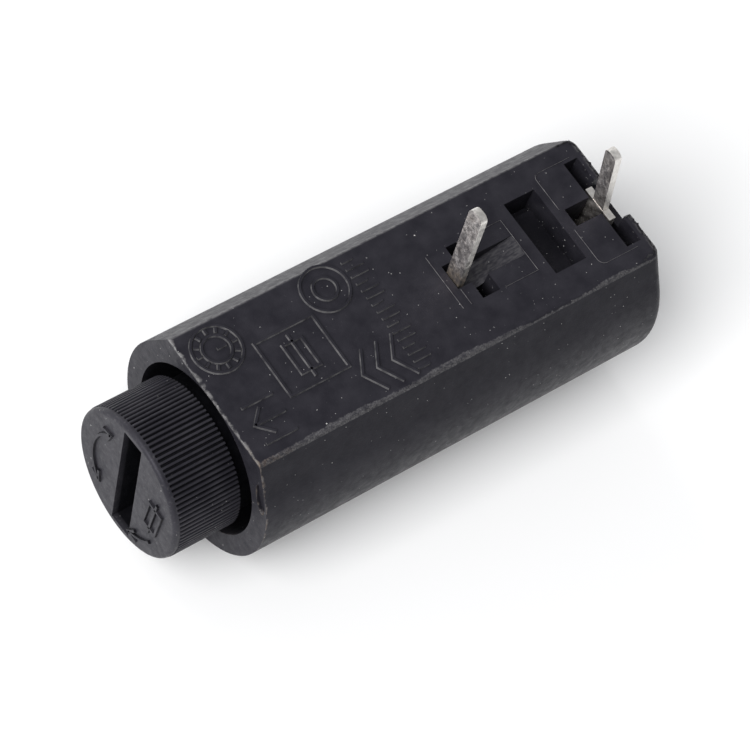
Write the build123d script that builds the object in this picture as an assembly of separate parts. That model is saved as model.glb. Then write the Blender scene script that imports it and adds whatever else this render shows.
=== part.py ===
"""Horizontal board-mounted holder for a 5 x 20 mm cartridge fuse, with a bayonet cap.

Frame: X runs from the mouth to the rear, Z points out of the flat board side along the solder pins.
The origin is on the bore axis, in the plane of the front face. All sizes are in millimetres.
"""
from build123d import *
from math import cos, radians, sin
import os

# --- housing, outside ---
body_length = 33.9
body_radius = 7.8            # round back, about the bore axis
side_angle = 31.4            # slope of the straight sides that run up to the flat board side, from upright
seat_wall = 0.2              # thinnest wall, between the mouth and the flat side
seat_edge_round = 0.3        # long edges of the flat side
rear_rim_round = 0.75        # rear outline, except along the flat side

# --- cap, outside ---
cap_radius = 5.45            # over the knurl
cap_protrusion = 5.5         # knob in front of the front face
cap_inside = 3.3             # neck of the knob inside the mouth
neck_radius = 4.85
cap_edge_round = 0.3
knurl_count = 96
knurl_depth = 0.2
ridge_shares = (0.16, 0.42, 0.80)    # of the pitch: groove floor ends, ridge top starts, ridge top ends
knurl_margin = 0.45          # smooth rim in front of the knurl
knurl_end = -0.3             # from the front face
rim_step = 0.05              # smooth rim under the knurl's outer radius
coin_slot_width = 1.9
coin_slot_length = 9.6
coin_slot_depth = 3.4
coin_slot_tilt = 8.0         # lean from upright, in degrees

# --- clearances ---
mouth_gap = 0.8              # knurl to mouth wall
guide_gap = 0.15             # shank to guide bore
lug_gap = 0.15               # lug to the roof of its channel
lug_side_gap = 2.5           # lug to the sides of its entry slot, in degrees
stop_gap = 0.1               # along the axis, between a stop and what rests on it
contact_gap = 0.05           # electrical contacts, just open
ferrule_gap = 0.04           # fuse in the clip
plate_gap = 0.1              # terminals in their slots
press_room = 0.3             # left over when the cap is pressed in

# --- bayonet ---
press_travel = 1.2
shank_radius = 4.55
shank_wall = 1.25
shank_setback = 0.6          # the pressed-in shank ends this far inside its guide bore
cap_floor = 3.0              # blind end of the shank's cavity
lug_height = 0.85
lug_length = 2.0
lug_angle = 34.0             # width of a lug, in degrees
lug_count = 2
ledge_length = 1.6           # ring that the lugs lock behind
guide_length = 3.4           # guide bore behind the lug channel

# --- fuse, 5 x 20 mm ---
fuse_length = 20.0
ferrule_radius = 2.6
ferrule_length = 5.2
ferrule_wall = 0.14
glass_gap = 0.08
glass_wall = 0.5
glass_setback = 0.1          # glass end to the ferrule's end wall
wire_radius = 0.09
solder_radius = 1.1
solder_height = 0.9

# --- contact clip ---
clip_wall = 0.3
clip_grip = 5.6              # length of fuse inside the clip
clip_slits = 4
clip_slit_width = 0.6
clip_slit_start = 1.0        # whole sleeve before the slits begin
arm_length = 2.4
arm_width = 1.6
tang_length = 0.5
tang_reach = 4.2             # outer radius over the tangs
tang_gap = 0.1

# --- cap spring ---
spring_radius = 2.15         # to the middle of the wire
spring_wire = 0.22           # wire radius
spring_turns = 6.5
spring_end_gap = 0.03

# --- terminals ---
sheet = 0.55
pin_height = 7.2             # above the flat side
pin_tip_round = 0.5
front_pin_width = 1.3
front_pin_lean = (4.8, -1.5) # bent a little to +Y, and to -X, in degrees
rear_pin_width = 1.1
rear_pin_lean = (1.5, 10.5)
front_pin_x = 19.8
pin_pitch = 12.7
strip_height = 4.2           # underside of the front strip above the axis
strip_width = 2.2
strip_front = 0.7            # flat strip in front of the pin
leaf_slope = 3.2             # lengths along the axis
leaf_contact_length = 1.0
leaf_tail = 1.3
leaf_tail_rise = 0.6
plate_half_width = 3.6
plate_top = 3.4              # wide part of the rear plate, above the axis
plate_bottom = -3.3
shoulder_half_width = 1.4
shoulder_drop = 0.15         # shoulders below the flat side
dimple_radius = 1.7
dimple_top_radius = 1.1
dimple_height = 0.3

# --- windows, pocket and slots in the flat side ---
fuse_bore_radius = 3.75
window_half_width = 0.82     # slot along the axis, whose floor ramps up behind the pin
pin_relief = 0.3             # the window is wider beside the leaning pin
window_depth = 1.9
ramp_ahead = 0.15            # level floor between the pin and the ramp
window_ramp_end = 25.2
side_hole_start = 20.55      # holes at both sides of the ramp, open to the bore
side_hole_end = 22.0
side_hole_reach = 2.2
leaf_room = 0.25
pocket_start = 26.2
pocket_end = 28.85
pocket_half_width = 3.05
pocket_depth = 2.0
trench_width = 0.45          # at both ends of the pocket
trench_depth = 0.4           # below the pocket's floor
rear_slot_start = 29.8
rear_slot_half_width = 0.73
rear_slot_depth = 3.2
slot_ahead = 0.25            # room in front of the rear plate
slot_behind = 0.4            # room behind it
notch_half_width = 1.7       # gap in the rear wall behind the pin
notch_depth = 1.3

# --- ejector mark on the front face ---
mark_angle = 29.0            # above the -Y side, in degrees
mark_inset = 0.55            # its middle, from the round back
mark_length = 2.5
mark_width = 0.84
mark_depth = 0.25

# --- worked out ---
mouth_radius = cap_radius + mouth_gap
seat_height = mouth_radius + seat_wall      # flat side above the bore axis
seat_half_width = (body_radius - seat_height * sin(radians(side_angle))) / cos(radians(side_angle))
mouth_depth = cap_inside + press_travel + press_room
guide_radius = shank_radius + guide_gap
lug_radius = shank_radius + lug_height
channel_radius = lug_radius + lug_gap
ledge_end = mouth_depth + ledge_length
lug_start = ledge_end + stop_gap
channel_end = lug_start + lug_length + press_travel + press_room
guide_end = channel_end + guide_length
shank_end = guide_end - press_travel - shank_setback
cavity_radius = shank_radius - shank_wall
rear_pin_x = front_pin_x + pin_pitch
plate_front = rear_pin_x - sheet / 2
plate_slot_start = plate_front - slot_ahead
plate_slot_end = plate_front + sheet + slot_behind
fuse_end = plate_front - dimple_height - contact_gap
fuse_start = fuse_end - fuse_length
glass_radius = ferrule_radius - ferrule_wall - glass_gap
clip_inner = ferrule_radius + ferrule_gap
clip_outer = clip_inner + clip_wall
clip_floor = fuse_start - contact_gap
clip_front = clip_floor - clip_wall
clip_end = fuse_start + clip_grip
arm_front = clip_front - arm_length
leaf_underside = clip_outer + contact_gap
front_pin_front = front_pin_x - sheet / 2
front_pin_rear = front_pin_x + sheet / 2
leaf_top_x = front_pin_x - strip_front
leaf_contact_x = leaf_top_x - leaf_slope
leaf_contact_end = leaf_contact_x - leaf_contact_length
leaf_front_x = leaf_contact_end - leaf_tail
far = 2 * (body_length + body_radius)       # past every face of the housing
over = 1.0                   # how far a cutter runs past an open end


def along_x(radius, start, end):
    """Cylinder on the bore axis from X = start to X = end."""
    rod = Cylinder(radius, end - start, align=(Align.CENTER, Align.CENTER, Align.MIN))
    return Pos(start, 0, 0) * Rot(0, 90, 0) * rod


def block(x_range, y_range, z_range):
    """Box between two corners."""
    low = [min(r) for r in (x_range, y_range, z_range)]
    size = [max(r) - min(r) for r in (x_range, y_range, z_range)]
    return Pos(*low) * Box(*size, align=(Align.MIN, Align.MIN, Align.MIN))


def centred_block(x_range, half_width, z_range):
    return block(x_range, (-half_width, half_width), z_range)


def side_profile(points, half_width):
    """Solid whose outline in X, Z is given, centred on Y = 0."""
    outline = Polyline([(x, 0, z) for x, z in points], close=True)
    return extrude(make_face(outline), half_width, dir=(0, 1, 0), both=True)


def sector(radius, start, end, centre_angle, width):
    """Slice of a cylinder on the bore axis, at an angle from +Y towards +Z."""
    centre = radians(centre_angle)
    half = radians(width / 2)
    rays = [(far * cos(centre + turn), far * sin(centre + turn)) for turn in (-half, half)]
    outline = make_face(Polyline([(0, 0), *rays], close=True))
    return extrude(Plane.YZ.offset(start) * outline, end - start) & along_x(radius, start, end)


def body_outline():
    """Section of the housing: a circle whose tangents run up to the edges of the flat side."""
    touch = (body_radius * cos(radians(side_angle)), body_radius * sin(radians(side_angle)))
    back = ThreePointArc(touch, (0, -body_radius), (-touch[0], touch[1]))
    corners = [(side * seat_half_width, seat_height) for side in (-1, 1)]
    sides = Polyline((-touch[0], touch[1]), *corners, touch)
    return Plane.YZ * make_face([*back.edges(), *sides.edges()])


def round_body():
    body = extrude(body_outline(), body_length)
    rear_rim = body.faces().sort_by(Axis.X)[-1].edges().sort_by(Axis.Z)[:-1]
    body = fillet(rear_rim, rear_rim_round)
    long_edges = [e for e in body.edges().filter_by(Axis.X) if e.center().Z > seat_height - seat_edge_round]
    return fillet(long_edges, seat_edge_round)


def bayonet_bore():
    """Mouth, ledge with its entry slots, lug channel and guide bore."""
    bore = along_x(mouth_radius, -over, mouth_depth) + along_x(guide_radius, 0, guide_end)
    bore += along_x(channel_radius, ledge_end, channel_end)
    entry_angle = lug_angle + 2 * lug_side_gap
    for index in range(lug_count):
        bore += sector(channel_radius, 0, channel_end, index * 360 / lug_count, entry_angle)
    return bore


def front_window():
    """Slot whose floor ramps up behind the pin, a hole at each side of it, and the strip's channel."""
    top = seat_height + over
    floor = seat_height - window_depth
    start = front_pin_front - plate_gap
    ramp = [(start, floor), (front_pin_rear + ramp_ahead, floor), (window_ramp_end, seat_height),
            (window_ramp_end, top), (start, top)]
    window = side_profile(ramp, window_half_width)
    for side in (-1, 1):
        hole_y = (side * window_half_width, side * side_hole_reach)
        window += block((side_hole_start, side_hole_end), hole_y, (0, top))
    window += block((start, side_hole_start), (0, window_half_width + pin_relief), (floor, top))
    pin_room = (start, front_pin_rear + plate_gap)
    window += centred_block(pin_room, front_pin_width / 2 + plate_gap, (strip_height - plate_gap, top))
    channel_half = strip_width / 2 + plate_gap
    roof = strip_height + sheet
    channel = (guide_end - over, front_pin_rear + plate_gap)
    window += centred_block(channel, channel_half, (strip_height - plate_gap, roof + plate_gap))
    leaf_channel = (guide_end - over, leaf_top_x + plate_gap)
    window += centred_block(leaf_channel, channel_half, (0, roof + leaf_room))
    return window


def pocket():
    floor = seat_height - pocket_depth
    cut = centred_block((pocket_start, pocket_end), pocket_half_width, (floor, far))
    inner = pocket_half_width - trench_width
    for side in (-1, 1):
        cut += block((pocket_start, pocket_end), (side * inner, side * pocket_half_width),
                     (floor - trench_depth, far))
    return cut


def rear_slots():
    """T-shaped slot for the rear terminal, with a notch in the wall behind the pin."""
    cut = centred_block((plate_slot_start, plate_slot_end), plate_half_width + plate_gap,
                        (plate_bottom - plate_gap, far))
    cut += centred_block((rear_slot_start, plate_slot_end), rear_slot_half_width,
                         (seat_height - rear_slot_depth, far))
    cut += centred_block((plate_slot_start, far), notch_half_width, (seat_height - notch_depth, far))
    return cut


def ejector_mark():
    """Shallow oval in the front rim, close to the round back."""
    middle = body_radius - mark_inset
    oval = Plane.YZ * Ellipse(mark_width / 2, mark_length / 2)
    return Rot(-mark_angle, 0, 0) * Pos(0, -middle, 0) * extrude(oval, mark_depth)


def make_housing():
    body = round_body()
    for cut in (bayonet_bore(), along_x(fuse_bore_radius, 0, plate_slot_end), front_window(), pocket(),
                rear_slots(), ejector_mark()):
        body -= cut
    return body


def knurl():
    """Ring of ridges with flat tops and narrow grooves."""
    points = []
    pitch = radians(360 / knurl_count)
    root = cap_radius - knurl_depth
    for index in range(knurl_count):
        for share, radius in zip((0, *ridge_shares), (root, root, cap_radius, cap_radius)):
            angle = (index + share) * pitch
            points.append((radius * cos(angle), radius * sin(angle)))
    start = knurl_margin - cap_protrusion
    return extrude(Plane.YZ.offset(start) * make_face(Polyline(points, close=True)), knurl_end - start)


def make_cap():
    rim = along_x(cap_radius - rim_step, -cap_protrusion, knurl_margin - cap_protrusion)
    rim = fillet(rim.edges().sort_by(Axis.X)[0], cap_edge_round)
    cap = rim + knurl() + along_x(neck_radius, knurl_end, cap_inside) + along_x(shank_radius, 0, shank_end)
    for index in range(lug_count):
        cap += sector(lug_radius, lug_start, lug_start + lug_length, index * 360 / lug_count, lug_angle)
    cap -= along_x(cavity_radius, cap_floor, shank_end + over)
    slot_x = (-cap_protrusion - over, coin_slot_depth - cap_protrusion)
    slot = centred_block(slot_x, coin_slot_width / 2, (-coin_slot_length / 2, coin_slot_length / 2))
    cap -= Rot(-coin_slot_tilt, 0, 0) * slot
    window_front = arm_front - press_travel - tang_gap
    window_rear = arm_front + tang_length + tang_gap
    cap -= centred_block((window_front, window_rear), arm_width / 2 + tang_gap, (-far, far))
    return cap


def make_contact_clip():
    """Slit cup for the fuse's end, with two arms whose tangs hold it in the shank."""
    clip = along_x(clip_outer, clip_front, clip_end) - along_x(clip_inner, clip_floor, clip_end + over)
    slit = centred_block((clip_floor + clip_slit_start, clip_end + over), clip_slit_width / 2, (0, far))
    for index in range(clip_slits):
        clip -= Rot((index + 0.5) * 360 / clip_slits, 0, 0) * slit
    arms = along_x(clip_outer, arm_front, clip_front)
    arms += along_x(tang_reach, arm_front, arm_front + tang_length)
    arms -= along_x(clip_inner, arm_front - over, clip_front)
    return clip + (arms & centred_block((0, clip_end), arm_width / 2, (-far, far)))


def make_cap_spring():
    start = cap_floor + spring_wire + spring_end_gap
    height = clip_front - spring_wire - spring_end_gap - start
    path = Pos(start, 0, 0) * Helix(height / spring_turns, height, spring_radius, direction=(1, 0, 0))
    section = Plane(origin=path @ 0, z_dir=path % 0) * Circle(spring_wire)
    return sweep(section, path=path)


def make_ferrule(at_rear):
    """Cup over one end of the glass, open towards the fuse's middle."""
    cup = along_x(ferrule_radius, 0, ferrule_length)
    cup -= along_x(glass_radius + glass_gap, ferrule_wall, ferrule_length + over)
    return place_fuse_end(cup, at_rear)


def make_solder(at_rear):
    """Dome of solder inside the ferrule's end wall, around the wire."""
    base = (ferrule_wall, solder_radius)
    halfway = radians(45)
    shoulder = (ferrule_wall + solder_height * sin(halfway), solder_radius * cos(halfway))
    top = (ferrule_wall + solder_height, wire_radius)
    crown = ThreePointArc(base, shoulder, top)
    sides = Polyline(top, (ferrule_wall, wire_radius), base)
    dome = revolve(make_face([crown.edge(), *sides.edges()]), Axis.X)
    return place_fuse_end(dome, at_rear)


def place_fuse_end(shape, at_rear):
    """Moves a piece made at X = 0 to the front end of the fuse, or turned round to its rear end."""
    if at_rear:
        return Pos(fuse_end, 0, 0) * Rot(0, 0, 180) * shape
    return Pos(fuse_start, 0, 0) * shape


def make_fuse_glass():
    inset = ferrule_wall + glass_setback
    start = fuse_start + inset
    end = fuse_end - inset
    return along_x(glass_radius, start, end) - along_x(glass_radius - glass_wall, start - over, end + over)


def make_fuse_wire():
    return along_x(wire_radius, fuse_start + ferrule_wall, fuse_end - ferrule_wall)


def make_pin(x, width, lean):
    """Blade with a rounded tip, bent a little where it leaves the flat side."""
    root = sheet
    blade = Pos(0, (pin_height - root) / 2) * Rectangle(width, pin_height + root)
    blade = fillet(blade.vertices().group_by(Axis.Y)[-1], pin_tip_round)
    pin = extrude(Plane.YZ * blade, sheet / 2, both=True)
    return Pos(x, 0, seat_height) * Rot(-lean[0], -lean[1], 0) * pin


def make_front_terminal():
    """Short strip with a sprung leaf in front and the pin standing up from its rear end."""
    underside = [(front_pin_rear, strip_height), (leaf_top_x, strip_height),
                 (leaf_contact_x, leaf_underside), (leaf_contact_end, leaf_underside),
                 (leaf_front_x, leaf_underside + leaf_tail_rise)]
    topside = [(x, z + sheet) for x, z in reversed(underside)]
    strip = side_profile(underside + topside, strip_width / 2)
    stem = centred_block((front_pin_front, front_pin_rear), front_pin_width / 2, (strip_height, seat_height))
    return strip + stem + make_pin(front_pin_x, front_pin_width, front_pin_lean)


def make_rear_terminal():
    """Plate across the bore with a contact dimple, two shoulders and the pin."""
    span = (plate_front, plate_front + sheet)
    plate = centred_block(span, plate_half_width, (plate_bottom, plate_top))
    plate += centred_block(span, shoulder_half_width, (plate_top, seat_height - shoulder_drop))
    dimple = Pos(plate_front, 0, 0) * Rot(0, -90, 0) * Cone(
        dimple_radius, dimple_top_radius, dimple_height, align=(Align.CENTER, Align.CENTER, Align.MIN))
    return plate + dimple + make_pin(rear_pin_x, rear_pin_width, rear_pin_lean)


parts = {
    "housing": make_housing(),
    "cap": make_cap(),
    "contact_clip": make_contact_clip(),
    "cap_spring": make_cap_spring(),
    "fuse_glass": make_fuse_glass(),
    "fuse_front_ferrule": make_ferrule(at_rear=False),
    "fuse_rear_ferrule": make_ferrule(at_rear=True),
    "fuse_wire": make_fuse_wire(),
    "fuse_front_solder": make_solder(at_rear=False),
    "fuse_rear_solder": make_solder(at_rear=True),
    "front_terminal": make_front_terminal(),
    "rear_terminal": make_rear_terminal(),
}

os.makedirs("parts", exist_ok=True)
for name, shape in parts.items():
    export_step(shape, f"parts/{name}.step")
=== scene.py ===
"""Looks for the board-mounted cartridge fuse holder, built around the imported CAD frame. Metres throughout."""
import math
import random

import bmesh
import bpy
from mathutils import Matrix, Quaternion, Vector


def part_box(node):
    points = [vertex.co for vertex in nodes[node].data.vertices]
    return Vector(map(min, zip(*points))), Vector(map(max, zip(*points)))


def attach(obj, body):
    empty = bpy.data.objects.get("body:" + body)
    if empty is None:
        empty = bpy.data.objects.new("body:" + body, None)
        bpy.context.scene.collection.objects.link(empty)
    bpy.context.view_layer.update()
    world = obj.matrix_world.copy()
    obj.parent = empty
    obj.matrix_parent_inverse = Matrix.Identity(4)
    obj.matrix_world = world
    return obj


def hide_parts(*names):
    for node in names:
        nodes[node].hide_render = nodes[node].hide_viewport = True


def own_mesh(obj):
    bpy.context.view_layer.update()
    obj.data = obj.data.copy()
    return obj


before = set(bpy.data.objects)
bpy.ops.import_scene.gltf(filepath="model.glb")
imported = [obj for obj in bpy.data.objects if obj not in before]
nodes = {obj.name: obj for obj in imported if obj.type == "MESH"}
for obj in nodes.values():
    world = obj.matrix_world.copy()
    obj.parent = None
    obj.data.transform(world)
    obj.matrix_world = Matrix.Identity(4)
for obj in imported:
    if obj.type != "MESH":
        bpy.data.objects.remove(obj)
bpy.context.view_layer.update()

MM = 0.001

# --- places, from the frame ---
HOUSING_LOW, HOUSING_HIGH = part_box("housing")
CAP_LOW, CAP_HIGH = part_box("cap")
SPRING_LOW, SPRING_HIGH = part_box("cap_spring")
SEAT_Z = HOUSING_HIGH.z
BACK_Z = HOUSING_LOW.z
REAR_X = HOUSING_HIGH.x
CAP_FACE_X = CAP_LOW.x
KNURL_TOP = CAP_HIGH.y
MOUTH_RADIUS = KNURL_TOP + 0.9 * MM
SEAT_EDGE_Y = max(v.co.y for v in nodes["housing"].data.vertices if v.co.z > SEAT_Z - 0.01 * MM)
FRONT_PIN_X = max(v.co.x for v in nodes["front_terminal"].data.vertices if v.co.z < SEAT_Z)
REAR_SLOT_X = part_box("rear_terminal")[1].x


# ---------------------------------------------------------------- camera, floor and light

CAMERA_TARGET = Vector((14.14, -1.14, -0.31)) * MM
CAMERA_DISTANCE = 236 * MM
CAMERA_AZIMUTH = -57.2
CAMERA_ELEVATION = 57.7
CAMERA_ROLL = 25.0
CAMERA_LENS = 168.3
CAMERA_NEAR, CAMERA_FAR = 0.01, 10.0
FLOOR_HALF = 3.0
FLOOR_WHITE = 0.93
FLOOR_PALEST = 0.95
FLOOR_LUMPS = 60 * MM
WORLD_STRENGTH = 0.38
WORLD_COLOUR = (0.97, 0.98, 1, 1)
KEY_LIGHT = {"location": (-0.50, -0.08, 0.54), "size": 0.5, "watts": 6.6}
FILL_LIGHT = {"location": (-0.05, 0.60, 0.30), "size": 0.4, "watts": 1.2}


def add_camera():
    azimuth, elevation = math.radians(CAMERA_AZIMUTH), math.radians(CAMERA_ELEVATION)
    back = Vector((math.sin(azimuth) * math.cos(elevation), -math.cos(azimuth) * math.cos(elevation),
                   math.sin(elevation)))
    data = bpy.data.cameras.new("camera")
    data.lens = CAMERA_LENS
    data.clip_start, data.clip_end = CAMERA_NEAR, CAMERA_FAR
    camera = bpy.data.objects.new("camera", data)
    bpy.context.scene.collection.objects.link(camera)
    camera.location = CAMERA_TARGET + back * CAMERA_DISTANCE
    camera.rotation_mode = "QUATERNION"
    roll = Quaternion((0, 0, 1), math.radians(CAMERA_ROLL))
    camera.rotation_quaternion = (-back).to_track_quat("-Z", "Y") @ roll
    bpy.context.scene.camera = camera


def new_object(name, vertices, faces):
    mesh = bpy.data.meshes.new(name)
    mesh.from_pydata(vertices, [], faces)
    piece = bpy.data.objects.new(name, mesh)
    bpy.context.scene.collection.objects.link(piece)
    return piece


def add_area(name, location, size, watts):
    data = bpy.data.lights.new(name, "AREA")
    data.shape = "SQUARE"
    data.size = size
    data.energy = watts
    light = bpy.data.objects.new(name, data)
    bpy.context.scene.collection.objects.link(light)
    light.location = location
    aim = CAMERA_TARGET - Vector(location)
    light.rotation_euler = aim.to_track_quat("-Z", "Y").to_euler()


def add_floor():
    corners = [(x * FLOOR_HALF, y * FLOOR_HALF, BACK_Z) for x, y in ((-1, -1), (1, -1), (1, 1), (-1, 1))]
    floor = new_object("floor", corners, [(0, 1, 2, 3)])
    look = Look("floor_white", roughness=0.9)
    look.colour(look.mix(look.noise(FLOOR_LUMPS), [FLOOR_WHITE] * 3, [FLOOR_PALEST] * 3))
    look.give(floor)


def add_world():
    world = bpy.data.worlds.new("studio")
    world.use_nodes = True
    background = world.node_tree.nodes["Background"]
    background.inputs["Color"].default_value = WORLD_COLOUR
    background.inputs["Strength"].default_value = WORLD_STRENGTH
    bpy.context.scene.world = world


# ---------------------------------------------------------------- materials

class Look:
    """One material: short calls for the nodes that feed its shader. Lengths are in metres."""

    def __init__(self, name, roughness, metallic=0.0):
        self.material = bpy.data.materials.new(name)
        self.material.use_nodes = True
        self.tree = self.material.node_tree
        self.shader = self.tree.nodes["Principled BSDF"]
        self.shader.inputs["Metallic"].default_value = metallic
        self.shader.inputs["Roughness"].default_value = roughness
        coordinates = self.tree.nodes.new("ShaderNodeTexCoord")
        self.place = coordinates.outputs["Object"]
        self.x, self.y, self.z = self.split(self.place)
        self.facing = self.split(coordinates.outputs["Normal"])

    def set(self, socket, value):
        if isinstance(value, bpy.types.NodeSocket):
            self.tree.links.new(value, socket)
        else:
            socket.default_value = value

    def split(self, vector):
        node = self.tree.nodes.new("ShaderNodeSeparateXYZ")
        self.set(node.inputs[0], vector)
        return node.outputs

    def math(self, operation, a, b=0.0):
        node = self.tree.nodes.new("ShaderNodeMath")
        node.operation = operation
        self.set(node.inputs[0], a)
        self.set(node.inputs[1], b)
        return node.outputs[0]

    def both(self, *masks):
        result = masks[0]
        for mask in masks[1:]:
            result = self.math("MULTIPLY", result, mask)
        return result

    def either(self, *masks):
        result = masks[0]
        for mask in masks[1:]:
            result = self.math("MAXIMUM", result, mask)
        return result

    def out(self):
        """Distance from the bore axis."""
        return self.math("SQRT", self.math("ADD", self.math("MULTIPLY", self.y, self.y),
                                           self.math("MULTIPLY", self.z, self.z)))

    def ramp(self, value, low, high, out_low=0.0, out_high=1.0):
        """Goes from out_low to out_high while value goes from low to high; low may be the larger."""
        node = self.tree.nodes.new("ShaderNodeMapRange")
        for socket, given in zip(node.inputs, (value, low, high, out_low, out_high)):
            self.set(socket, given)
        return node.outputs[0]

    def noise(self, size, detail=3.0, stretch=(1, 1, 1)):
        """Noise from 0 to 1 with lumps of about this size, drawn out along an axis by stretch."""
        scale = self.tree.nodes.new("ShaderNodeMapping")
        self.set(scale.inputs["Vector"], self.place)
        scale.inputs["Scale"].default_value = [1 / (size * s) for s in stretch]
        node = self.tree.nodes.new("ShaderNodeTexNoise")
        self.set(node.inputs["Vector"], scale.outputs[0])
        node.inputs["Scale"].default_value = 1.0
        node.inputs["Detail"].default_value = detail
        return node.outputs["Fac"]

    def patches(self, size, low, high, out_low=0.0, out_high=1.0, **noise):
        """Noise of this size put through a ramp."""
        return self.ramp(self.noise(size, **noise), low, high, out_low, out_high)

    def specks(self, cell, radius, share):
        """Small irregular specks of mixed brightness, in this share of the cells."""
        node = self.tree.nodes.new("ShaderNodeTexVoronoi")
        self.set(node.inputs["Vector"], self.place)
        node.inputs["Scale"].default_value = 1 / cell
        lot, strength, _ = self.split(node.outputs["Color"])
        ragged = self.ramp(self.noise(0.5 * radius), 0.3, 0.7, 0.2 * radius / cell, radius / cell)
        near = self.ramp(node.outputs["Distance"], ragged, self.math("MULTIPLY", ragged, 0.5))
        return self.both(near, self.math("LESS_THAN", lot, share), self.ramp(strength, 0, 1, 0.2, 0.9))

    def mix(self, factor, a, b):
        node = self.tree.nodes.new("ShaderNodeMix")
        node.data_type = "RGBA"
        colours = [s for s in node.inputs if s.type == "RGBA"]
        self.set(node.inputs[0], factor)
        for socket, value in zip(colours, (a, b)):
            self.set(socket, (*value, 1) if isinstance(value, (tuple, list)) else value)
        return next(s for s in node.outputs if s.type == "RGBA")

    def colour(self, value):
        self.set(self.shader.inputs["Base Color"], value)

    def rough(self, value, low, high):
        self.set(self.shader.inputs["Roughness"], self.ramp(value, 0.3, 0.7, low, high))

    def bump(self, *layers):
        """Layers of (height from 0 to 1, depth in metres), one on the other."""
        normal = None
        for height, depth in layers:
            node = self.tree.nodes.new("ShaderNodeBump")
            node.inputs["Distance"].default_value = depth
            self.set(node.inputs["Height"], height)
            if normal is not None:
                self.set(node.inputs["Normal"], normal)
            normal = node.outputs[0]
        self.set(self.shader.inputs["Normal"], normal)

    def give(self, piece):
        piece.data.materials.clear()
        piece.data.materials.append(self.material)


BLACK = (0.0124, 0.0119, 0.0160)
BLACK_WORN = (0.0232, 0.0223, 0.0278)
CAP_BLACK = (0.0165, 0.0159, 0.0203)
CAP_WORN = (0.0300, 0.0290, 0.0345)
FLASH_BLACK = (0.008, 0.0078, 0.010)
FLASH_WORN = (0.03, 0.029, 0.03)
GLOSS_TINT = (0.90, 0.88, 1.0, 1)
GLOSS_LEVEL = 0.24
SCUFF = (0.21, 0.205, 0.205)
SCUFF_BROWN = (0.20, 0.15, 0.11)
DUST = (0.62, 0.61, 0.60)
# painted shade: the near-black that recesses, the coin slot, the knurl's grooves, the right side and the marks'
# flanks are darkened towards
PAINTED_SHADE = (0.003, 0.003, 0.004)
SLOT_REACH = 5.0 * MM        # the coin slot lies within this radius, the knurl outside it
MOUTH_REACH = 6 * MM         # painted shade in the mouth ends behind this depth
BROWN_LENGTH = 3.5 * MM      # brownish wear along the right edge, from the front corner
SLOPE_HALF_WIDTH = 2 * MM    # the slope in the front window lies within this, and above SLOPE_FOOT
SLOPE_FOOT = 3 * MM


def moulded(name, dark=BLACK, light=BLACK_WORN):
    """Black moulded plastic: mottled tone, fine grain, a few flow dents."""
    look = Look(name, roughness=0.45)
    look.shader.inputs["Specular IOR Level"].default_value = GLOSS_LEVEL
    look.shader.inputs["Specular Tint"].default_value = GLOSS_TINT
    look.tone = look.mix(look.patches(1.6 * MM, 0.35, 0.7, detail=5), dark, light)
    look.rough(look.noise(0.5 * MM, detail=4), 0.38, 0.56)
    look.bump((look.noise(0.11 * MM, detail=4), 0.012 * MM), (look.noise(0.9 * MM, detail=2), 0.02 * MM))
    return look


def dusty(look, tone, share=0.5):
    """Adds pale dust on top of a tone."""
    dust = look.either(look.specks(0.36 * MM, 0.06 * MM, 0.55 * share),
                       look.specks(0.8 * MM, 0.10 * MM, 0.2 * share))
    return look.mix(dust, tone, DUST)


def edge_wear(look):
    """Where the housing's edges are worn light: front, front right corner, right, left and rear edge."""
    wander = look.noise(0.7 * MM, detail=5)
    patchy = look.patches(0.35 * MM, 0.36, 0.56, detail=4)
    on_top = look.ramp(look.z, SEAT_Z - 0.28 * MM, SEAT_Z - 0.12 * MM)
    not_front = look.ramp(look.facing[0], -0.9, -0.6)
    front = look.both(on_top, look.ramp(look.x, look.ramp(wander, 0.35, 0.7, 0.0, 0.30 * MM), 0.0))
    corner = look.both(not_front, look.ramp(look.y, 0.0, -2 * MM),
                       look.ramp(look.x, look.ramp(wander, 0.4, 0.7, 0.0, 0.36 * MM), 0.0))
    swell = look.patches(5 * MM, 0.35, 0.65, -0.20 * MM, 0.14 * MM, detail=1, stretch=(1, 4, 4))
    ragged = look.math("ADD", swell, look.patches(0.3 * MM, 0.3, 0.7, -0.07 * MM, 0.07 * MM, detail=5))
    inward = look.math("SUBTRACT", look.math("ADD", look.y, SEAT_EDGE_Y), ragged)
    right = look.both(look.ramp(look.z, SEAT_Z - 0.30 * MM, SEAT_Z - 0.24 * MM),
                      look.patches(0.10 * MM, 0.35, 0.65, 0.2, 1.0, detail=5),
                      look.ramp(inward, 0.04 * MM, -0.02 * MM))
    left = look.both(on_top, look.ramp(look.y, SEAT_EDGE_Y - 0.02 * MM, SEAT_EDGE_Y + 0.12 * MM))
    rear = look.both(on_top, look.ramp(look.x, REAR_X - 0.5 * MM, REAR_X))
    lines = ((front, 0.10, 1.0), (corner, 0.05, 0.6), (right, 0.14, 0.42),
             (left, 0.1, 0.5), (rear, 0.0, 0.8))
    return look.either(*(look.both(line, look.ramp(patchy, 0, 1, weak, strong))
                         for line, weak, strong in lines))


def window_slope(look):
    """Where the slope in the front window is."""
    steep = look.both(look.ramp(look.facing[2], 0.6, 0.7), look.ramp(look.facing[2], 0.998, 0.985))
    return look.both(steep, look.math("LESS_THAN", look.math("ABSOLUTE", look.y), SLOPE_HALF_WIDTH),
                     look.math("GREATER_THAN", look.z, SLOPE_FOOT),
                     look.math("GREATER_THAN", look.x, FRONT_PIN_X))


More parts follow.
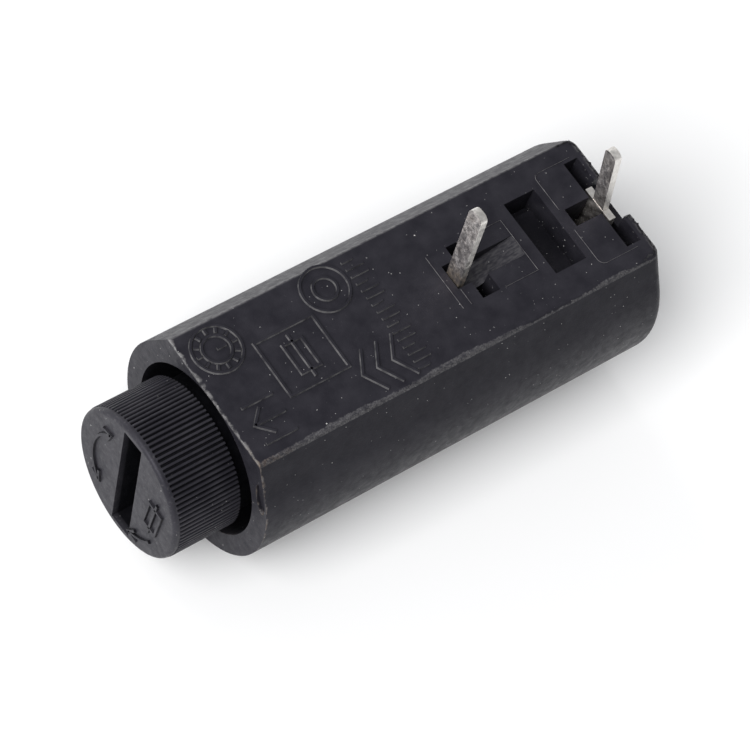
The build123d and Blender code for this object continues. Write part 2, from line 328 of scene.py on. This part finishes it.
def recesses(look):
    """Where shade is painted: in the mouth and deep in the windows."""
    out = look.out()
    in_mouth = look.both(look.math("LESS_THAN", out, MOUTH_RADIUS), look.ramp(look.x, 0.05 * MM, 0.9 * MM),
                         look.math("LESS_THAN", look.x, MOUTH_REACH))
    sunk = look.ramp(out, SEAT_Z - 0.4 * MM, SEAT_Z - 2.2 * MM, 0.0, 0.85)
    return look.either(in_mouth, sunk)


def housing_look():
    """Edges worn light and brownish at the front right, painted shade in the recesses and on the right side,
    painted light on the left side, a streaked slope in the window.
    """
    look = moulded("black_moulding")
    worn = edge_wear(look)
    brown = look.both(look.ramp(look.y, -SEAT_EDGE_Y + 1.6 * MM, -SEAT_EDGE_Y),
                      look.ramp(look.x, BROWN_LENGTH, 1 * MM), look.patches(0.3 * MM, 0.4, 0.6, 0.1, 0.8))
    scuff = look.mix(brown, SCUFF, SCUFF_BROWN)
    slope = window_slope(look)
    streaks = look.patches(0.16 * MM, 0.4, 0.65, 0.03, 0.2, detail=4, stretch=(8, 1, 1))
    # painted shade: faces turned to -Y, the right side, darkened towards near-black
    tone = look.mix(look.ramp(look.facing[1], -0.4, -0.85, 0.0, 0.5), look.tone, PAINTED_SHADE)
    # painted light: faces turned to +Y, the left side, lightened a little
    tone = look.mix(look.ramp(look.facing[1], 0.4, 0.85, 0.0, 0.07), tone, SCUFF)
    # painted shade: the mouth and the deep windows darkened, the window's slope left out
    tone = look.mix(look.both(recesses(look), look.ramp(slope, 1, 0)), tone, PAINTED_SHADE)
    tone = look.mix(look.either(worn, look.both(slope, streaks)), tone, scuff)
    look.colour(dusty(look, tone))
    return look


def mark_look(name, highlight_low, highlight_high):
    """Raised lines on the flat side: painted highlight in patches on the front and right flanks, painted shade
    on the rear and left flanks.
    """
    look = moulded(name)
    flank = look.ramp(look.facing[2], 0.95, 0.7)
    # painted highlight: the steep flanks of the strokes, lightened in patches
    flank_highlight = look.both(flank, look.patches(0.6 * MM, 0.36, 0.66, highlight_low, highlight_high, detail=5))
    # painted shade: the flanks that turn to +X and +Y, away from the key light
    behind = look.both(flank, look.ramp(look.math("ADD", look.facing[0], look.facing[1]), -0.2, 0.3))
    look.colour(look.mix(behind, look.mix(flank_highlight, look.tone, SCUFF), PAINTED_SHADE))
    return look


def cap_mark_look():
    """Raised lines on the cap's face, with painted shade in patches on their flanks."""
    look = moulded("black_cap_marks", CAP_BLACK, CAP_WORN)
    # painted shade: the flanks of the cap's marks, in patches
    flank_shade = look.both(look.ramp(look.facing[0], -0.95, -0.6), look.patches(0.5 * MM, 0.3, 0.6, 0.5, 1))
    look.colour(look.mix(flank_shade, look.tone, PAINTED_SHADE))
    return look


def cap_look():
    """Greyer than the housing, with painted shade in the coin slot and the knurl's grooves."""
    look = moulded("black_cap", CAP_BLACK, CAP_WORN)
    rim = look.both(look.ramp(look.x, CAP_FACE_X + 0.75 * MM, CAP_FACE_X + 0.25 * MM),
                    look.patches(0.2 * MM, 0.58, 0.7, 0.0, 0.14, detail=5))
    out = look.out()
    in_slot = look.both(look.math("LESS_THAN", out, SLOT_REACH),
                        look.ramp(look.x, CAP_FACE_X + 0.1 * MM, CAP_FACE_X + 0.9 * MM))
    in_groove = look.both(look.ramp(out, KNURL_TOP - 0.03 * MM, KNURL_TOP - 0.14 * MM),
                          look.ramp(look.x, CAP_FACE_X + 0.4 * MM, CAP_FACE_X + 0.5 * MM))
    # painted shade: near-black in the coin slot and down in the knurl's grooves
    look.colour(look.mix(look.either(in_slot, in_groove),
                         dusty(look, look.mix(rim, look.tone, SCUFF), share=0.6), PAINTED_SHADE))
    return look


def metal(name, colour, tarnish, rough=(0.25, 0.5), grain=0.1 * MM, stretch=(1, 1, 1), depth=0.004 * MM):
    """Metal whose tone and gloss wander between clean and tarnished."""
    look = Look(name, roughness=rough[0], metallic=1.0)
    look.tone = look.mix(look.patches(0.7 * MM, 0.35, 0.7, detail=5), colour, tarnish)
    look.rough(look.noise(grain * 3, detail=4, stretch=stretch), *rough)
    look.bump((look.noise(grain, detail=4, stretch=stretch), depth))
    look.colour(look.tone)
    return look


def terminal_look():
    """Dull tinned faces, bright sheared edges, and brown flux where the front pin leaves the housing."""
    look = metal("tinned_sheet", (0.86, 0.82, 0.80), (0.62, 0.57, 0.54), rough=(0.32, 0.6), depth=0.012 * MM)
    sheared = look.ramp(look.math("ABSOLUTE", look.facing[0]), 0.8, 0.4)
    bright = look.mix(look.noise(0.12 * MM, detail=4, stretch=(1, 1, 3)),
                      (0.62, 0.59, 0.55), (0.95, 0.93, 0.9))
    height = look.math("ADD", look.z, look.patches(0.5 * MM, 0.3, 0.7, -0.5 * MM, 0.5 * MM))
    stained = look.both(look.ramp(height, SEAT_Z + 1.5 * MM, SEAT_Z + 0.4 * MM),
                        look.math("LESS_THAN", look.x, FRONT_PIN_X + 1 * MM),
                        look.patches(0.3 * MM, 0.3, 0.6, 0.3, 0.85))
    brown = look.mix(look.noise(0.2 * MM, detail=4), (0.36, 0.28, 0.20), (0.72, 0.62, 0.52))
    look.colour(look.mix(stained, look.mix(sheared, look.tone, bright), brown))
    return look


def glass_look():
    """Clear glass with faint smears."""
    look = Look("clear_glass", roughness=0.03)
    look.shader.inputs["Transmission Weight"].default_value = 1.0
    look.shader.inputs["IOR"].default_value = 1.5
    look.colour(look.mix(look.noise(2 * MM), (0.93, 0.97, 0.96), (0.98, 1.0, 0.99)))
    look.rough(look.noise(1.2 * MM, detail=4, stretch=(3, 1, 1)), 0.02, 0.09)
    return look


def dress_cad_nodes():
    terminal = terminal_look()
    ferrule = metal("nickel_plate", (0.80, 0.79, 0.76), (0.66, 0.64, 0.60), rough=(0.14, 0.3),
                    stretch=(0.3, 3, 3))
    solder = metal("dull_solder", (0.62, 0.62, 0.63), (0.45, 0.45, 0.46), rough=(0.3, 0.55))
    looks = {
        "housing": housing_look(),
        "cap": cap_look(),
        "front_terminal": terminal,
        "rear_terminal": terminal,
        "contact_clip": metal("spring_brass", (0.78, 0.70, 0.52), (0.60, 0.50, 0.34), rough=(0.2, 0.4)),
        "fuse_front_ferrule": ferrule,
        "fuse_rear_ferrule": ferrule,
        "fuse_glass": glass_look(),
        "fuse_wire": metal("element_wire", (0.74, 0.72, 0.68), (0.6, 0.58, 0.55), grain=0.05 * MM),
        "fuse_front_solder": solder,
        "fuse_rear_solder": solder,
    }
    for name, look in looks.items():
        look.give(nodes[name])
    for name in ("housing", "cap"):
        soften(nodes[name])


SOFT_EDGE = 0.05 * MM
SHARP_ANGLE = math.radians(50)
WELD_REACH = 0.001 * MM


def soften(piece):
    """Rounds the sharp edges of a moulding a little, as a moulding has them."""
    weld = piece.modifiers.new("weld", "WELD")
    weld.merge_threshold = WELD_REACH
    bevel = piece.modifiers.new("soft_edges", "BEVEL")
    bevel.width = SOFT_EDGE
    bevel.segments = 2
    bevel.limit_method = "ANGLE"
    bevel.angle_limit = SHARP_ANGLE
    bevel.use_clamp_overlap = True


# ---------------------------------------------------------------- raised marks

MARK_WIDTH = 0.26 * MM
MARK_HEIGHT = 0.15 * MM
MARK_ROOT = 0.03 * MM        # how deep a mark is rooted in the face it stands on
MARK_TOP = 0.30              # half of a stroke's flat top, as a share of its width
CAP_MARK_WIDTH = 0.30 * MM
CAP_MARK_HEIGHT = 0.16 * MM
SCALE_WIDTH = 0.20 * MM
LINE_WIDTH = 0.10 * MM       # witness lines of the mould's inserts
LINE_HEIGHT = 0.05 * MM


def arc(centre, radius, start, end, steps=None):
    """Points on an arc, angles in degrees."""
    count = steps or max(6, round(abs(end - start) / 10))
    turns = [math.radians(start + (end - start) * i / count) for i in range(count + 1)]
    return [(centre[0] + radius * math.cos(t), centre[1] + radius * math.sin(t)) for t in turns]


def circle(centre, radius, steps):
    """A closed stroke all the way round."""
    return arc(centre, radius, 0, 360, steps)[:-1], True


def add_stroke(vertices, faces, points, width, height, closed):
    """Adds one raised line with sloping flanks, mitred at its corners, in its face's own plane."""
    line = [Vector(p) for p in points]
    count = len(line)
    section = ((-0.5, -MARK_ROOT), (-MARK_TOP, height), (MARK_TOP, height), (0.5, -MARK_ROOT))
    first = len(vertices)
    for i, point in enumerate(line):
        before = line[i - 1] if closed or i else point
        after = line[(i + 1) % count] if closed or i < count - 1 else point
        ways = [(b - a).normalized() for a, b in ((before, point), (point, after)) if (b - a).length > 0]
        across = sum((Vector((-w.y, w.x)) for w in ways), Vector((0, 0))).normalized()
        mitre = across * width / max(0.5, across.dot(Vector((-ways[0].y, ways[0].x))))
        vertices.extend((*(point + mitre * side), up) for side, up in section)
    ring = len(section)
    for i in range(count if closed else count - 1):
        a, b = first + i * ring, first + (i + 1) % count * ring
        faces.extend((a + k, a + (k + 1) % ring, b + (k + 1) % ring, b + k) for k in range(ring))
    if not closed:
        last = first + (count - 1) * ring
        faces.append(tuple(first + k for k in reversed(range(ring))))
        faces.append(tuple(last + k for k in range(ring)))


def on_flat_side(u, v, up):
    return (u, v, SEAT_Z + up)


def on_cap_face(u, v, up):
    """u runs to +Y and v to +Z on the cap's face, which looks along -X."""
    return (CAP_FACE_X - up, u, v)


def raised(name, strokes, place, body, look, slot, width=MARK_WIDTH, height=MARK_HEIGHT):
    """One piece made of raised lines. Each stroke is (points in millimetres, closed)."""
    vertices, faces = [], []
    for points, closed in strokes:
        add_stroke(vertices, faces, [(u * MM, v * MM) for u, v in points], width, height, closed)
    piece = new_object(name, [place(*vertex) for vertex in vertices], faces)
    piece.data.validate()
    turn_outwards(piece)
    look.give(piece)
    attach(piece, body)


def turn_outwards(piece):
    """Makes every face of a closed piece look outwards."""
    work = bmesh.new()
    work.from_mesh(piece.data)
    bmesh.ops.recalc_face_normals(work, faces=work.faces)
    work.to_mesh(piece.data)
    work.free()


def date_dial(centre, radius):
    """Mould date dial: two rings, ticks between them and a pointer."""
    rings = [circle(centre, radius, 48), circle(centre, 0.58 * radius, 36)]
    ticks = [(arc_ray(centre, 0.68 * radius, 0.9 * radius, a), False) for a in range(0, 360, 30)]
    pointer = [(arc_ray(centre, 0.0, 0.42 * radius, 0), False)]
    return rings + ticks + pointer


def arc_ray(centre, inner, outer, angle):
    way = (math.cos(math.radians(angle)), math.sin(math.radians(angle)))
    return [(centre[0] + r * way[0], centre[1] + r * way[1]) for r in (inner, outer)]


def rectangle(x0, x1, y0, y1):
    return [(x0, y0), (x1, y0), (x1, y1), (x0, y1)]


def fuse_symbol(centre, length, width):
    """The general drawing symbol of a fuse: a box with a line through it, along v."""
    x, y = centre
    box = rectangle(x - width / 2, x + width / 2, y - length / 2, y + length / 2)
    return [(box, True), ([(x, y - 0.75 * length), (x, y + 0.75 * length)], False)]


def arrow(tail, tip, head):
    """A straight arrow with an open head."""
    tail, tip = Vector(tail), Vector(tip)
    way = (tip - tail).normalized()
    side = Vector((-way.y, way.x))
    barbs = [tip - (way - side) * head, tip, tip - (way + side) * head]
    return [([tuple(tail), tuple(tip)], False), ([tuple(p) for p in barbs], False)]


def chevrons(x, y, half, step, count):
    tips = [x + i * step for i in range(count)]
    return [([(u + half * 0.6, y + half), (u, y), (u + half * 0.6, y - half)], False) for u in tips]


def add_marks():
    """Generic raised marks and the witness lines of the mould, on the flat side and on the cap's face."""
    look = mark_look("black_moulding_marks", 0.15, 0.7)
    flat = {"place": on_flat_side, "body": "housing", "look": look, "slot": "housing_plastic"}
    raised("mark_date_dial", date_dial((2.35, 3.1), 1.75), **flat)
    frame_box = [(rectangle(4.7, 9.4, -2.1, 2.25), True)]
    raised("mark_symbol_frame", frame_box + fuse_symbol((7.05, 0.08), 2.3, 1.5), **flat)
    gate = (11.35, 3.45)
    raised("mark_gate_ring", [circle(gate, 1.72, 48), circle(gate, 0.85, 30)], **flat)
    raised("mark_push_arrow", arrow((3.75, -2.75), (1.35, -2.75), 1.0)
           + [([(1.25, -4.2), (3.7, -4.2)], False), ([(1.25, -1.3), (3.7, -1.3)], False)], **flat)
    raised("mark_chevrons", chevrons(9.8, -3.1, 1.65, 1.25, 3), **flat)
    bars = [([(13.4, y), (14.8, y)] if i % 3 else [(13.4, y), (14.3, y)], False)
            for i, y in enumerate(-4.5 + 0.6 * k for k in range(16))]
    raised("mark_scale", bars, width=SCALE_WIDTH, **flat)

    thin = {**flat, "look": mark_look("black_witness_lines", 0.3, 1.0),
            "width": LINE_WIDTH, "height": LINE_HEIGHT}
    pin = FRONT_PIN_X / MM
    insert = [([(pin - 1.2, 2.2), (pin - 1.2, -2.2)], False),
              ([(pin - 0.5, -0.95), (pin - 0.5, -2.2)], False),
              ([(pin + 2.4, -2.2), (pin + 5.2, -2.2), (pin + 5.2, 2.2), (pin + 1.4, 2.2)], False)]
    raised("insert_line_front", insert, **thin)
    rear = REAR_SLOT_X / MM
    corner = 0.5
    left = [(rear - 0.2, 4.0), *arc((rear - 3.4 + corner, 4.0 - corner), corner, 90, 180), (rear - 3.4, 0.9)]
    right = [(u, -v) for u, v in left]
    raised("insert_line_rear", [(left, False), (right, False)], **thin)

    add_cap_marks({"place": on_cap_face, "body": "cap", "look": cap_mark_look(), "slot": "cap_plastic",
                   "width": CAP_MARK_WIDTH, "height": CAP_MARK_HEIGHT})


def add_cap_marks(cap):
    """A curved double arrow on one side of the coin slot, the fuse symbol and a turn arrow on the other."""
    reach = 3.7
    bow = arc((0, 0), reach, -52, 48)
    heads = [barbs_at(bow[0], bow[1], 0.75), barbs_at(bow[-1], bow[-2], 0.75)]
    raised("mark_turn_arrow", [(bow, False), *((h, False) for h in heads)], **cap)
    raised("mark_cap_fuse", fuse_symbol((-3.05, 0.45), 2.4, 1.3), **cap)
    low = arc((0, 0), 4.1, 212, 248)
    barbs = barbs_at(low[-1], low[-2], 0.8)
    raised("mark_cap_arrow", [(low, False), (barbs, False)], **cap)


def barbs_at(tip, before, size):
    """Open arrow head at the end of a curved line."""
    tip, before = Vector(tip), Vector(before)
    way = (tip - before).normalized()
    side = Vector((-way.y, way.x))
    back, out = way * size, side * size * 0.6
    return [tuple(tip - back + out), tuple(tip), tuple(tip - back - out)]


# ---------------------------------------------------------------- moulding flash

FLASH_SEED = 7
FLASH_STEP = 0.22 * MM       # about how far apart the tips stand
FLASH_HEIGHTS = (0.02, 0.26)     # lowest and highest tip, in millimetres
FLASH_LEAN = 0.12            # how far a tip may lean to either side, in millimetres
FLASH_FOOT = 0.09            # half of the width of the foot, in millimetres
FLASH_ROOT = 0.1 * MM        # how deep the foot is rooted in the flat side


def flash_route(side):
    """Where a fin runs: from the notch along the rear wall and round the corner."""
    start, wall = REAR_SLOT_X + 0.4 * MM, REAR_X - 0.25 * MM
    return [(start, side * 1.72 * MM), (wall, side * 1.74 * MM), (wall, side * 4.6 * MM),
            (wall - 0.3 * MM, side * 5.0 * MM), (wall - 1.3 * MM, side * 5.1 * MM)]


def add_fin(vertices, faces, a, b, chance):
    """Adds one straight length of ragged fin, three-sided and closed at both ends."""
    steps = max(3, round((Vector(b) - Vector(a)).length / FLASH_STEP))
    across = Vector((-(b[1] - a[1]), b[0] - a[0])).normalized()
    foot = across * FLASH_FOOT * MM
    first = len(vertices)
    for i in range(steps + 1):
        point = Vector(a).lerp(Vector(b), i / steps)
        height = chance.uniform(*FLASH_HEIGHTS) * MM
        lean = across * chance.uniform(-FLASH_LEAN, FLASH_LEAN) * MM
        vertices += [(*(point - foot), SEAT_Z - FLASH_ROOT), (*(point + lean), SEAT_Z + height),
                     (*(point + foot), SEAT_Z - FLASH_ROOT)]
    for i in range(steps):
        p, q = first + 3 * i, first + 3 * (i + 1)
        faces += [(p + k, p + (k + 1) % 3, q + (k + 1) % 3, q + k) for k in range(3)]
    last = first + 3 * steps
    faces += [(first, first + 1, first + 2), (last + 2, last + 1, last)]


def add_flash():
    """Thin ragged fins of plastic along the rear wall and the edges of its notch."""
    chance = random.Random(FLASH_SEED)
    look = moulded("black_flash", dark=FLASH_BLACK, light=FLASH_WORN)
    look.colour(look.tone)
    for side, name in ((-1, "flash_right"), (1, "flash_left")):
        route = flash_route(side)
        vertices, faces = [], []
        for a, b in zip(route, route[1:]):
            add_fin(vertices, faces, a, b, chance)
        piece = new_object(name, vertices, faces)
        turn_outwards(piece)
        look.give(piece)
        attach(piece, "housing")


# ---------------------------------------------------------------- cap spring

SPRING_TURNS = 6.5
COIL_RADIUS, WIRE_RADIUS = 2.15, 0.22    # only their proportion is used
STEPS_PER_TURN = 32
WIRE_SIDES = 10


def coil(start, end, radius, wire):
    """Vertices and faces of a round wire wound along X."""
    vertices, faces = [], []
    steps = round(SPRING_TURNS * STEPS_PER_TURN)
    for i in range(steps + 1):
        turn = 2 * math.pi * SPRING_TURNS * i / steps
        out = Vector((0, math.cos(turn), math.sin(turn)))
        middle = Vector((start + (end - start) * i / steps, 0, 0)) + out * radius
        for k in range(WIRE_SIDES):
            angle = 2 * math.pi * k / WIRE_SIDES
            vertices.append(middle + out * wire * math.cos(angle) + Vector((wire * math.sin(angle), 0, 0)))
    for i in range(steps):
        for k in range(WIRE_SIDES):
            a, b = i * WIRE_SIDES + k, i * WIRE_SIDES + (k + 1) % WIRE_SIDES
            faces.append((a, b, b + WIRE_SIDES, a + WIRE_SIDES))
    faces += [tuple(range(WIRE_SIDES)), tuple(steps * WIRE_SIDES + k for k in reversed(range(WIRE_SIDES)))]
    return vertices, faces


def add_spring():
    """The cap's spring as a piece of its own, a coil of round wire carried by the cap."""
    outer = (SPRING_HIGH.y - SPRING_LOW.y) / 2
    wire = outer / (COIL_RADIUS + WIRE_RADIUS) * WIRE_RADIUS
    piece = new_object("spring_coil", *coil(SPRING_LOW.x + wire, SPRING_HIGH.x - wire, outer - wire, wire))
    piece.data.shade_smooth()
    turn_outwards(piece)
    metal("drawn_spring_wire", (0.56, 0.56, 0.57), (0.42, 0.42, 0.43), rough=(0.22, 0.4)).give(piece)
    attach(piece, "cap")
    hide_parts("cap_spring")
    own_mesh(piece)


bpy.context.scene.view_settings.view_transform = "Standard"
add_camera()
add_floor()
add_world()
add_area("key", **KEY_LIGHT)
add_area("fill", **FILL_LIGHT)
dress_cad_nodes()
add_marks()
add_flash()
add_spring()
